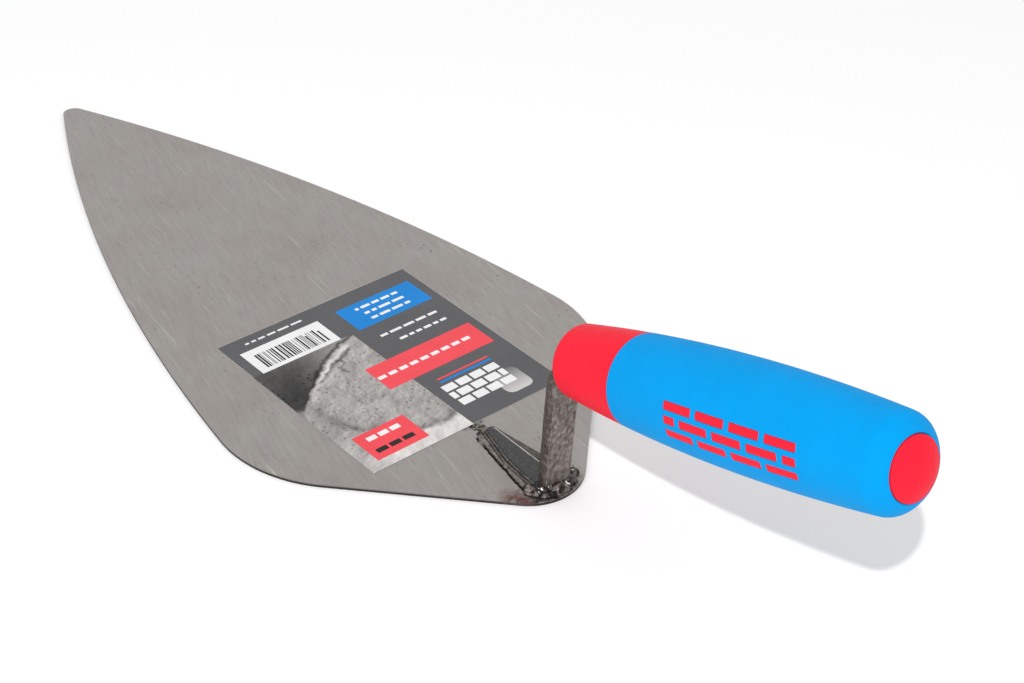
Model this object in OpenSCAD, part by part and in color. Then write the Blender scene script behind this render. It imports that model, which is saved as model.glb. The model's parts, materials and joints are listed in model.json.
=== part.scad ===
/* Brick trowel, London pattern: a ground steel blade, a forged stem welded on at the heel,
   and a two-colour moulded handle driven over the stem's tang.
   +X runs from the handle to the blade's tip and +Z is up. The origin lies on the blade's
   underside, where the stem's centre line meets it. */

/* [Blade] */
// Length from heel to tip
blade_l = 275; // [250:1:300]
// Greatest width
blade_w = 124.9; // [110:0.1:135]
// Thickness from the heel to the end of the label
blade_t = 1.2; // [1:0.1:2]
// Thickness at the tip
tip_t = 0.8; // [0.6:0.1:1]
// Distance from the heel's edge to the stem's centre line
heel_overhang = 5.4; // [5:0.1:7]
// Radius of the round heel
heel_r = 17; // [14:0.5:20]
// Angle that the heel's arc turns through on each side
heel_turn = 45.4; // [42:0.1:48]
// Radius of each shoulder
shoulder_r = 41; // [30:1:50]
// Angle that each shoulder's arc turns through
shoulder_turn = 51.8; // [50:0.1:54]
// Angle that each long side's shallow arc turns through
side_turn = 19.1; // [17:0.1:21]
// Radius of the tip
tip_r = 3.8; // [2:0.1:6]

/* [Stem] */
// Width of the stem's bar, across the blade
bar_w = 9.8; // [8:0.1:10.4]
// Depth of the stem's bar
bar_d = 4.2; // [4.1:0.1:6]
// Corner radius on the bar's rear and lower side
rear_corner_r = 0.9; // [0.5:0.1:1.5]
// Corner radius on the bar's front and upper side
front_corner_r = 2; // [1:0.1:2]
// Backward lean of the upright
lean = 2.4; // [0:0.1:4]
// Height where the upright's and the handle's centre lines cross
crossing_z = 46.7; // [42:0.1:55]
// Centre line radius of the bend
bend_r = 14; // [9:0.5:15]
// Length of tang inside the handle
tang_l = 80; // [60:1:88]
// Depth of the holding notches in the tang
notch_d = 1.2; // [0.8:0.1:1.5]

/* [Foot and welds] */
// Height of the foot above the blade
foot_h = 2; // [1.5:0.1:2.5]
// Half width of the foot by the upright, on the +Y side
foot_near_w = 5.5; // [5.2:0.1:6.5]
// Half width of the foot half way along, on the +Y side
foot_knee_w = 4.5; // [3.8:0.1:4.7]
// Half width of the foot by the upright, on the -Y side
foot_far_w = 2.8; // [2.5:0.1:4.5]
// Width of the foot at its toe
toe_w = 3.8; // [2.5:0.1:4.5]
// Sideways offset of the toe
toe_y = -0.6; // [-1:0.1:0]
// Distance from the origin to the foot's toe
foot_reach = 29.5; // [24:0.5:31]
// Width over the side welds where the upright stands
weld_w = 17.6; // [15:0.1:19]
// Width over the side welds at the toe
weld_toe_w = 9.2; // [8:0.1:10]
// Distance from the origin to the end of the toe weld
weld_reach = 34.5; // [33:0.1:34.7]
// Height of the heel weld above the blade
heel_weld_h = 3.2; // [2.5:0.1:4]

/* [Handle] */
// Upward slope of the handle, in degrees
pitch = 17; // [12:0.1:22]
// Distance from the centre lines' crossing to the collar's face
collar_gap = 6.5; // [6:0.1:10]
// Overall length of the handle
handle_l = 116.9; // [112:0.1:125]
// Diameter of the collar's face
front_dia = 20; // [18:0.1:22]
// Greatest diameter
handle_dia = 28.3; // [27:0.1:32]
// Distance from the collar's face to the greatest diameter
belly_s = 67; // [60:1:72]
// Radius of the domed end
dome_r = 15; // [14:0.5:16]
// Angle of the dome, each side of the centre line
dome_half_angle = 48; // [44:1:52]
// Length of bare collar in front of the soft grip
collar_l = 24.6; // [20:0.2:30]
// Thickness of the soft grip
grip_t = 2.2; // [1.5:0.1:2.5]
// Diameter of the end cap
cap_dia = 16; // [12:0.5:17]
// Diameter of the cap's spigot
spigot_dia = 10; // [7:0.5:11]
// Length of the cap's spigot
spigot_l = 12; // [8:1:14]

/* [Brick pattern on the handle] */
// Number of courses
courses = 3; // [1:1:3]
// Bricks in a full course
bricks = 4; // [2:1:5]
// Length of one brick
brick_l = 9.8; // [7:0.1:10]
// Height of one brick
brick_h = 2.4; // [1.5:0.1:2.6]
// Joint between two bricks
joint_w = 1.6; // [1:0.1:2]
// Angle from one course to the next
course_step = 15.5; // [14:0.5:18]
// Angle of the pattern's middle, from the handle's top
pattern_angle = 88; // [80:1:100]
// Distance from the collar's face to the pattern's front
pattern_s = 47; // [40:1:50]

/* [Label] */
// Length along the blade
label_l = 77; // [60:1:80]
// Width across the blade
label_w = 71.7; // [50:0.1:75]
// Thickness of the film
label_t = 0.15; // [0.1:0.05:0.3]
// Distance from the origin to the label's near edge
label_x = 35.05; // [35:0.05:40]
// Sideways offset of the label's middle
label_y = 1.9; // [-3:0.1:3]
// Turn of the label on the blade
label_turn = 1.7; // [0:0.1:2]

/* [Hidden] */
$fn = 96;

// Degrees of arc per straight step in an outline
arc_step = 3;
// More than any radius or length that a cutting shape has to pass
far = 400;

// Points on an arc about c, with both ends included
function arc(c, r, a0, a1, step = arc_step) =
    let (n = max(2, ceil(abs(a1 - a0) / step)))
    [for (i = [0:n]) c + r * [cos(a0 + (a1 - a0) * i / n), sin(a0 + (a1 - a0) * i / n)]];

// ---- blade outline: heel arc, straight, shoulder arc, shallow side arc, tip arc ----
straight_heading = 90 - heel_turn;
side_heading = straight_heading - shoulder_turn;
tip_heading = side_heading - side_turn;
straight_l = (blade_w / 2 - heel_r * cos(straight_heading) - shoulder_r * (1 - cos(straight_heading)))
    / sin(straight_heading);
side_r = (blade_w / 2 - shoulder_r * (1 - cos(side_heading)) - tip_r * cos(tip_heading))
    / (cos(side_heading) - cos(tip_heading));
heel_c = [heel_r, 0];
straight_end = heel_c + heel_r * [cos(180 - heel_turn), sin(180 - heel_turn)]
    + straight_l * [cos(straight_heading), sin(straight_heading)];
shoulder_c = straight_end - shoulder_r * [cos(90 + straight_heading), sin(90 + straight_heading)];
side_c = shoulder_c - (side_r - shoulder_r) * [cos(90 + side_heading), sin(90 + side_heading)];
tip_c = side_c + (side_r - tip_r) * [cos(90 + tip_heading), sin(90 + tip_heading)];
half_outline = concat(
    arc(heel_c, heel_r, 180, 180 - heel_turn),
    arc(shoulder_c, shoulder_r, 90 + straight_heading, 90 + side_heading),
    arc(side_c, side_r, 90 + side_heading, 90 + tip_heading, 0.8),
    arc(tip_c, tip_r, 90 + tip_heading, 0, 8)
);
stretch = blade_l / (tip_c.x + tip_r);
upper_side = [for (p = half_outline) [p.x * stretch - heel_overhang, max(p.y, 0)]];
lower_side = [for (i = [len(upper_side) - 2:-1:1]) [upper_side[i].x, -upper_side[i].y]];
tip_x = blade_l - heel_overhang;
taper_x = label_x + label_l + 4;
taper_angle = atan((blade_t - tip_t) / (tip_x - taper_x));

// ---- stem: foot, leaning upright, bend and tang ----
bend_turn = 90 - pitch - lean;
bend_tangent = bend_r * tan(bend_turn / 2);
upright_l = crossing_z / cos(lean) - bend_tangent;
// The tang's straight bar reaches a little way back into the bend, to join it
tang_start = bend_tangent - collar_gap - 0.4;
notch_l = 3;
notch_pitch = 14;
foot_rear = -bar_d / 2;
foot_z = blade_t;
foot_top = blade_t + foot_h;
fillet_top = foot_top - 0.3;
weld_from = bar_d / 2;
foot_knee_x = 15;
toe_c = [foot_reach - toe_w / 2, toe_y];

// The foot's three stations as [x, half width on the +Y side, half width on the -Y side]
foot_stations = [
    [weld_from, foot_near_w, foot_far_w],
    [foot_knee_x, foot_knee_w, (foot_far_w + toe_w / 2 - toe_y) / 2],
    [toe_c.x, toe_w / 2 + toe_y, toe_w / 2 - toe_y]
];

// ---- handle: barrel arc, rounded shoulder and domed end, all tangent ----
barrel_rise = (handle_dia - front_dia) / 2;
barrel_r = (belly_s * belly_s + barrel_rise * barrel_rise) / (2 * barrel_rise);
barrel_c = [belly_s, handle_dia / 2 - barrel_r];
dome_c = [handle_l - dome_r, 0];
dome_dir = [cos(dome_half_angle), sin(dome_half_angle)];
dome_edge = dome_c + dome_r * dome_dir - barrel_c;
round_r = (barrel_r * barrel_r - dome_edge * dome_edge) / (2 * (barrel_r - dome_edge * dome_dir));
round_c = dome_c + (dome_r - round_r) * dome_dir;
round_from = atan2(round_c.y - barrel_c.y, round_c.x - barrel_c.x);
front_edge = 0.8;
core_end_s = handle_l - 8.6;
spigot_clear = 0.2;

// Barrel radius angle at distance s from the collar's face, at depth t under the surface
function barrel_angle(s, t) = acos((s - belly_s) / (barrel_r - t));

// Half outline of the handle at depth t, as [distance along it, radius]
function skin(t) = concat(
    [[0, 0], [0, front_dia / 2 - t - front_edge]],
    [[front_edge * 0.3, front_dia / 2 - t - front_edge * 0.3]],
    arc(barrel_c, barrel_r - t, barrel_angle(front_edge, t), round_from, 0.6),
    arc(round_c, round_r - t, round_from - 4, dome_half_angle, 4),
    arc(dome_c, dome_r - t, dome_half_angle - 4, 0, 4)
);

// ---------------------------------------------------------------- shared shapes

module skin_2d(t) {
    polygon([for (p = skin(t)) [max(p.y, 0), p.x]]);
}

// A band of the handle's half section, from s0 to s1 and out to radius r
module band_2d(s0, s1, r = far) {
    translate([0, s0]) square([r, s1 - s0]);
}

// The core's share of the half section: the collar and all under the grip
module core_zone_2d() {
    band_2d(-1, collar_l);
    intersection() {
        skin_2d(grip_t);
        band_2d(collar_l - 1, core_end_s);
    }
}

// Local Z runs along the handle from the collar's face, and local X points up
module on_handle() {
    crossing = [-crossing_z * tan(lean), 0, crossing_z];
    translate(crossing) rotate([0, pitch - 90, 0]) translate([0, 0, collar_gap]) children();
}

// Section of the stem's bar: rounder towards local +X
module bar_2d() {
    d = bar_d / 2;
    w = bar_w / 2;
    f = front_corner_r;
    b = rear_corner_r;
    polygon(concat(
        arc([d - f, w - f], f, 0, 90, 15),
        arc([b - d, w - b], b, 90, 180, 15),
        arc([b - d, b - w], b, 180, 270, 15),
        arc([d - f, f - w], f, 270, 360, 15)
    ));
}

// The tang with its notches, in the handle's frame
module tang() {
    difference() {
        translate([0, 0, tang_start]) linear_extrude(tang_l - tang_start) bar_2d();
        for (i = [0:2], side = [-1, 1])
            translate([-far / 2, side > 0 ? bar_w / 2 - notch_d : -far - bar_w / 2 + notch_d,
                tang_l - 12 - i * notch_pitch])
                cube([far, far, notch_l]);
        for (side = [-1, 1])
            translate([0, side * bar_w / 2, tang_l])
                rotate([45 * side, 0, 0])
                    cube([far, 4, 4], center = true);
    }
}

// Raised bricks in running bond on both sides of the handle, in the handle's frame
module brick_pads() {
    full = bricks * brick_l + (bricks - 1) * joint_w;
    half_l = (brick_l - joint_w) / 2;
    for (side = [-1, 1], course = [0:courses - 1]) {
        angle = side * (pattern_angle + course_step * (course - (courses - 1) / 2));
        rotate([0, 0, angle]) {
            if (course % 2 == 0) {
                for (i = [0:bricks - 1])
                    brick_pad(pattern_s + i * (brick_l + joint_w), brick_l);
            } else {
                brick_pad(pattern_s, half_l);
                brick_pad(pattern_s + full - half_l, half_l);
                for (i = [0:bricks - 2])
                    brick_pad(pattern_s + half_l + joint_w + i * (brick_l + joint_w), brick_l);
            }
        }
    }
}

// One brick, from inside the core out past the grip's surface
module brick_pad(s, l) {
    translate([handle_dia / 2 - grip_t - 2, -brick_h / 2, s]) cube([grip_t + 4, brick_h, l]);
}

// One side weld: a fillet between the foot's side and the blade, through the foot's stations
module side_weld(side) {
    last = len(foot_stations) - 1;
    run = toe_c.x - weld_from;
    points = [
        for (station = foot_stations)
            let (
                x = station.x,
                inner = side * (side > 0 ? station[1] : station[2]),
                outer = side * (weld_w + (weld_toe_w - weld_w) * (x - weld_from) / run) / 2
            )
            each [[x, inner, foot_z], [x, outer, foot_z], [x, inner, fillet_top]]
    ];
    walls = [
        for (i = [0:last - 1], edge = [[0, 1], [1, 2], [2, 0]])
            let (a = 3 * i + edge[0], b = 3 * i + edge[1])
            each [[a, b, b + 3], [a, b + 3, a + 3]]
    ];
    faces = concat([[0, 2, 1], [3 * last, 3 * last + 1, 3 * last + 2]], walls);
    polyhedron(points, side < 0 ? faces : [for (face = faces) [face[0], face[2], face[1]]]);
}

// The foot's plan, with a rounded toe
module foot_2d() {
    knee = foot_stations[1];
    polygon(concat(
        [[foot_rear, -bar_w / 2], [weld_from, -bar_w / 2], [weld_from, -foot_far_w], [knee.x, -knee[2]]],
        arc(toe_c, toe_w / 2, -90, 90, 15),
        [[knee.x, knee[1]], [weld_from, foot_near_w], [foot_rear, bar_w / 2]]
    ));
}

// The upright's bar, from the underside's level up to the bend
module upright() {
    rotate([0, -lean, 0]) linear_extrude(upright_l) bar_2d();
}

// The rest of the bar: the bend, which ends inside the collar, and the tang
module bend_and_tang() {
    rotate([0, -lean, 0]) translate([-bend_r, 0, upright_l]) rotate([90, 0, 0])
        rotate_extrude(angle = bend_turn) translate([bend_r, 0]) bar_2d();
    on_handle() tang();
}

// ---------------------------------------------------------------- pieces

module blade() {
    color([0.62, 0.61, 0.6])
    difference() {
        linear_extrude(blade_t) polygon(concat(upper_side, lower_side));
        translate([taper_x, 0, blade_t]) rotate([0, taper_angle, 0])
            translate([0, -far / 2, 0]) cube([far, far, far]);
    }
}

module stem() {
    color([0.33, 0.3, 0.28]) {
        difference() {
            union() {
                translate([0, 0, foot_z]) linear_extrude(foot_h) foot_2d();
                upright();
            }
            translate([-far / 2, -far / 2, blade_t - far]) cube(far);
        }
        bend_and_tang();
    }
}

module weld_left() {
    color([0.55, 0.53, 0.52]) side_weld(1);
}

module weld_right() {
    color([0.55, 0.53, 0.52]) side_weld(-1);
}

module weld_toe() {
    color([0.3, 0.28, 0.27])
    difference() {
        hull() {
            translate([toe_c.x, -weld_toe_w / 2, foot_z]) cube([0.1, weld_toe_w, 0.1]);
            translate([weld_reach - 2.7, 0, foot_z]) cylinder(r = 2.7, h = 0.3, $fn = 32);
            translate([toe_c.x, toe_y - toe_w / 2, foot_z]) cube([0.1, toe_w, foot_h - 0.3]);
            translate([toe_c.x + 1.6, toe_y, foot_z]) cylinder(r = 1.4, h = foot_h - 0.5, $fn = 32);
        }
        translate([0, 0, foot_z - 1]) linear_extrude(foot_h + 2) foot_2d();
    }
}

module weld_heel() {
    reach = heel_overhang - 0.5 + weld_from;
    ratio = reach / (weld_w / 2);
    color([0.6, 0.58, 0.57])
    difference() {
        translate([weld_from, 0, foot_z]) scale([ratio, 1, 1])
            cylinder(r1 = weld_w / 2, r2 = bar_w / 2 + 0.9, h = heel_weld_h, $fn = 48);
        translate([weld_from, -far / 2, 0]) cube(far);
        translate([0, 0, foot_z - 1]) linear_extrude(foot_h + 1) foot_2d();
        upright();
    }
}

module handle_core() {
    color([1, 0.18, 0.24])
    difference() {
        on_handle() difference() {
            union() {
                rotate_extrude() intersection() {
                    skin_2d(0);
                    core_zone_2d();
                }
                intersection() {
                    brick_pads();
                    rotate_extrude() skin_2d(0);
                }
            }
            translate([0, 0, core_end_s - spigot_l - spigot_clear])
                cylinder(d = spigot_dia, h = spigot_l + 1);
        }
        bend_and_tang();
    }
}

module soft_grip() {
    color([0, 0.64, 0.96])
    on_handle() difference() {
        rotate_extrude() difference() {
            skin_2d(0);
            core_zone_2d();
            band_2d(core_end_s - 1, handle_l + 1, cap_dia / 2);
        }
        brick_pads();
    }
}

module end_cap() {
    color([1, 0.18, 0.24])
    on_handle() rotate_extrude() {
        intersection() {
            skin_2d(0);
            band_2d(core_end_s, handle_l + 1, cap_dia / 2);
        }
        band_2d(core_end_s - spigot_l, core_end_s + 1, spigot_dia / 2);
    }
}

module label() {
    color([0.37, 0.37, 0.38])
    translate([label_x + label_l / 2, label_y, blade_t + label_t / 2]) rotate([0, 0, label_turn])
        cube([label_l, label_w, label_t], center = true);
}

blade();
stem();
weld_left();
weld_right();
weld_toe();
weld_heel();
handle_core();
soft_grip();
end_cap();
label();
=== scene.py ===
import bisect
import json
import math
import random

import bmesh
import bpy
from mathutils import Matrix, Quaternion, Vector, noise
from mathutils.geometry import delaunay_2d_cdt


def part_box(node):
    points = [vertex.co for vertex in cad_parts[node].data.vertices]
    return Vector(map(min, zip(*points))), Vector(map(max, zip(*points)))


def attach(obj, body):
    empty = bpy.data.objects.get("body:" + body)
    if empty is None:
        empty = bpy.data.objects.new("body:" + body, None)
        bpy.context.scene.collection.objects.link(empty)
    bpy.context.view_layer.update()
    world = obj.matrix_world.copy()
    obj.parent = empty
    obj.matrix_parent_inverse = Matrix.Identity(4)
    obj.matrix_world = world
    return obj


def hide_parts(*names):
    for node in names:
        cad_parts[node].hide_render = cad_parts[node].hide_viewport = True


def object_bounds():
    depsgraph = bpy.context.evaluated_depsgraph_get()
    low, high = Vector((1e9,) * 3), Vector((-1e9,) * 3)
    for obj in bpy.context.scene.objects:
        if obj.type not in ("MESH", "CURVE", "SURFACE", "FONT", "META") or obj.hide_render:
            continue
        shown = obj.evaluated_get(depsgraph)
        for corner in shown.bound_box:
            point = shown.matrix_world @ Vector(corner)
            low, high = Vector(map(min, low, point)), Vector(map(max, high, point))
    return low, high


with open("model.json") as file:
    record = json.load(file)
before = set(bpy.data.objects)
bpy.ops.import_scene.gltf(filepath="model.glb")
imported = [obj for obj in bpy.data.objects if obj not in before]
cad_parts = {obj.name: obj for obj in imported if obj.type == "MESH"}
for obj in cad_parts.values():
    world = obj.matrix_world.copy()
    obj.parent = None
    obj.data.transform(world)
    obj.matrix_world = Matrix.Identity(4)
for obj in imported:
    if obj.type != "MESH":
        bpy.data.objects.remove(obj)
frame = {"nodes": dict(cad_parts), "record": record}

MM = 0.001
TURN = 2 * math.pi
cad_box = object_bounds()
nodes = frame["nodes"]

# ---------------------------------------------------------------- sizes, in metres

BLADE_LOW, BLADE_HIGH = (Vector(corner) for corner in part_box("blade"))
BLADE_TOP = BLADE_HIGH.z
HEEL_X = BLADE_LOW.x
LABEL_LOW, LABEL_HIGH = (Vector(corner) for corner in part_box("label"))
LABEL_MIDDLE = (LABEL_LOW + LABEL_HIGH) / 2
LABEL_L = 77 * MM
LABEL_W = 71.7 * MM
LABEL_TURN = math.radians(1.7)
FILM_TOP = LABEL_HIGH.z - 0.06 * MM
PRINT_STEP = 0.02 * MM

BAR_W = 9.8 * MM
BAR_D = 4.2 * MM
REAR_CORNER_R = 0.9 * MM
FRONT_CORNER_R = 2 * MM
LEAN = math.radians(2.4)
CROSSING_Z = 46.7 * MM
BEND_R = 14 * MM
COLLAR_GAP = 6.5 * MM
TANG_L = 80 * MM
NOTCH_D = 1.2 * MM
NOTCH_L = 3 * MM
NOTCH_PITCH = 14 * MM
LAST_NOTCH = 12 * MM
TANG_CHAMFER = 2.8 * MM

FOOT_TOP = BLADE_TOP + 2 * MM
FOOT_NEAR_W = 5.5 * MM
FOOT_KNEE_W = 4.5 * MM
FOOT_FAR_W = 2.8 * MM
TOE_W = 3.8 * MM
TOE_Y = -0.6 * MM
FOOT_REACH = 29.5 * MM
TOE_X = FOOT_REACH - TOE_W / 2
WELD_FROM = BAR_D / 2
WELD_W = 17.6 * MM
WELD_TOE_W = 9.2 * MM
WELD_REACH = 34.5 * MM
HEEL_WELD_H = 3.2 * MM
FOOT_KNEE_X = 15 * MM

mounts = {mount["name"]: mount for mount in frame["record"]["mounts"]}
GRIP_AXIS = Vector(mounts["handle_grip"]["axis"]).normalized()
BELLY_S = 67 * MM
COLLAR_FACE = Vector(mounts["handle_grip"]["pos_m"]) - BELLY_S * GRIP_AXIS

HANDLE_LENGTH = 116.9 * MM
FRONT_R = 10 * MM
BELLY_R = 14.15 * MM
DOME_R = 15 * MM
DOME_HALF_ANGLE = math.radians(48)
COLLAR_LENGTH = 24.6 * MM
GRIP_T = 2.2 * MM
CAP_R = 8 * MM
CAP_START = HANDLE_LENGTH - 8.6 * MM
SEAM = 0.04 * MM
SEAM_R = 0.28 * MM

COURSES = 3
BRICKS = 4
BRICK_L = 9.8 * MM
BRICK_H = 2.4 * MM
JOINT = 1.6 * MM
COURSE_STEP = math.radians(15.5)
PATTERN_ANGLE = math.radians(88)
PATTERN_S = 47 * MM


# ---------------------------------------------------------------- handle surface

# The handle's half outline is three tangent arcs: barrel, rounded shoulder and domed end.
BARREL_RISE = BELLY_R - FRONT_R
BARREL_R = (BELLY_S**2 + BARREL_RISE**2) / (2 * BARREL_RISE)
BARREL_C = Vector((BELLY_S, BELLY_R - BARREL_R))
DOME_C = Vector((HANDLE_LENGTH - DOME_R, 0))
DOME_DIR = Vector((math.cos(DOME_HALF_ANGLE), math.sin(DOME_HALF_ANGLE)))
DOME_EDGE = DOME_C + DOME_R * DOME_DIR - BARREL_C
ROUND_R = (BARREL_R**2 - DOME_EDGE.length_squared) / (2 * (BARREL_R - DOME_EDGE.dot(DOME_DIR)))
ROUND_C = DOME_C + (DOME_R - ROUND_R) * DOME_DIR
BARREL_END = BARREL_C + BARREL_R * (ROUND_C - BARREL_C).normalized()
ROUND_END = DOME_C + DOME_R * DOME_DIR


def skin_radius(s):
    """The handle's radius at distance s from the collar's face."""
    if s <= BARREL_END.x:
        centre, radius = BARREL_C, BARREL_R
    elif s <= ROUND_END.x:
        centre, radius = ROUND_C, ROUND_R
    else:
        centre, radius = DOME_C, DOME_R
    return centre.y + math.sqrt(max(radius**2 - (s - centre.x) ** 2, 0))


def dome_s(radius):
    """Where the domed end has this radius."""
    return DOME_C.x + math.sqrt(DOME_R**2 - radius**2)


def on_handle(s, radius, angle):
    """A point in the row frame. The angle runs from the handle's top towards +Y."""
    up = Vector((GRIP_AXIS.z, 0, -GRIP_AXIS.x))
    side = Vector((0, 1, 0))
    return COLLAR_FACE + s * GRIP_AXIS + radius * (math.cos(angle) * up + math.sin(angle) * side)


# ---------------------------------------------------------------- mesh helpers


def new_piece(name, mesh, material, replaced=()):
    """A piece of the object, riding on its one body."""
    piece = bpy.data.objects.new(name, mesh)
    bpy.context.collection.objects.link(piece)
    mesh.materials.clear()
    mesh.materials.append(material)
    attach(piece, "root")
    if replaced:
        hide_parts(*replaced)
    return piece


def mesh_from(name, vertices, faces, sharp_angle=35, merge=1e-7):
    """A smooth mesh whose edges stay sharp past an angle in degrees."""
    mesh = bpy.data.meshes.new(name)
    mesh.from_pydata([tuple(v) for v in vertices], [], faces)
    build = bmesh.new()
    build.from_mesh(mesh)
    bmesh.ops.remove_doubles(build, verts=build.verts, dist=merge)
    bmesh.ops.recalc_face_normals(build, faces=build.faces)
    build.to_mesh(mesh)
    build.free()
    mesh.shade_smooth()
    mesh.set_sharp_from_angle(angle=math.radians(sharp_angle))
    return mesh


def ring_faces(first, second, count, closed=True):
    """Quads between two rings of vertices that start at the given indices."""
    last = count if closed else count - 1
    return [
        (first + k, first + (k + 1) % count, second + (k + 1) % count, second + k)
        for k in range(last)
    ]


def loft(sections):
    """Vertices and faces of a closed solid through rings of equally many points."""
    count = len(sections[0])
    vertices = [point for section in sections for point in section]
    faces = []
    for i in range(len(sections) - 1):
        faces += ring_faces(i * count, (i + 1) * count, count)
    faces.append(tuple(range(count)))
    faces.append(tuple((len(sections) - 1) * count + k for k in range(count)))
    return vertices, faces


def joined(*solids):
    """Several (vertices, faces) solids as one."""
    vertices, faces = [], []
    for solid_vertices, solid_faces in solids:
        start = len(vertices)
        vertices += solid_vertices
        faces += [tuple(start + k for k in face) for face in solid_faces]
    return vertices, faces


def turned(profile, segments=144):
    """A closed solid of revolution about the handle's axis, from (s, radius) points."""
    return loft([[on_handle(s, r, TURN * k / segments) for k in range(segments)] for s, r in profile])


def arc(centre, radius, start, end, count=5):
    """Points on an arc. Its two angles are in quarter turns."""
    angles = (math.pi / 2 * (start + (end - start) * i / count) for i in range(count + 1))
    return [(centre[0] + radius * math.cos(a), centre[1] + radius * math.sin(a)) for a in angles]


def rounded(half_l, half_h, radii, count, along=(), across=()):
    """A rectangle with rounded corners, and more points along its long and short sides."""
    points = []
    for k, (x, y) in enumerate(((1, 1), (-1, 1), (-1, -1), (1, -1))):
        r = radii[k]
        points += arc((x * (half_l - r), y * (half_h - r)), r, k, k + 1, count)
        if k % 2:
            points += [(x * half_l, y * h) for h in across]
        else:
            points += [(x * l, y * half_h) for l in along]
    return points


def steps(start, end, spacing):
    """Evenly spaced values from start to end, both included."""
    count = max(1, math.ceil(abs(end - start) / spacing - 1e-9))
    return [start + (end - start) * i / count for i in range(count + 1)]


def ball(centre, radii, rings=10):
    """A closed ellipsoid, as (vertices, faces)."""
    sections = []
    for i in range(1, rings):
        tilt = math.pi * i / rings
        sections.append([
            Vector((
                centre[0] + radii[0] * math.sin(tilt) * math.cos(TURN * k / 16),
                centre[1] + radii[1] * math.sin(tilt) * math.sin(TURN * k / 16),
                centre[2] + radii[2] * math.cos(tilt),
            ))
            for k in range(16)
        ])
    return loft(sections)


def fused(name, solid, voxel, relax=3):
    """One even skin around overlapping solids, with its creases softened."""
    source = bpy.data.objects.new(name, mesh_from(name, *solid))
    bpy.context.collection.objects.link(source)
    remesh = source.modifiers.new("skin", "REMESH")
    remesh.mode = "VOXEL"
    remesh.voxel_size = voxel
    soften = source.modifiers.new("soften", "SMOOTH")
    soften.factor = 0.5
    soften.iterations = relax
    evaluated = source.evaluated_get(bpy.context.evaluated_depsgraph_get())
    mesh = bpy.data.meshes.new_from_object(evaluated)
    bpy.data.objects.remove(source)
    mesh.shade_smooth()
    return mesh


def displace(mesh, height):
    """Move each vertex along its normal by height(position, normal)."""
    moves = [height(v.co, v.normal) * v.normal for v in mesh.vertices]
    for vertex, move in zip(mesh.vertices, moves):
        vertex.co += move
    mesh.update()


def store(mesh, name, values):
    """Store one value for each vertex, for the material to read."""
    mesh.attributes.new(name, "FLOAT", "POINT").data.foreach_set("value", values)


def paint(mesh, name, value):
    """Store value(position, normal) on each vertex."""
    store(mesh, name, [value(v.co, v.normal) for v in mesh.vertices])


def fractal(place, size, octaves=4, seed=0.0):
    """Smooth noise from about -1 to 1, whose broadest features are size across."""
    offset = Vector((seed, 1.7 * seed, 2.3 * seed))
    return noise.fractal(place / size + offset, 0.9, 2.1, octaves)


def blend(a, b, value):
    """0 below a, 1 above b and a smooth step between."""
    t = min(max((value - a) / (b - a), 0), 1)
    return t * t * (3 - 2 * t)


def bell(distance, width):
    """1 at no distance, and next to nothing past twice the width."""
    return math.exp(-((distance / width) ** 2))


# ---------------------------------------------------------------- materials


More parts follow.
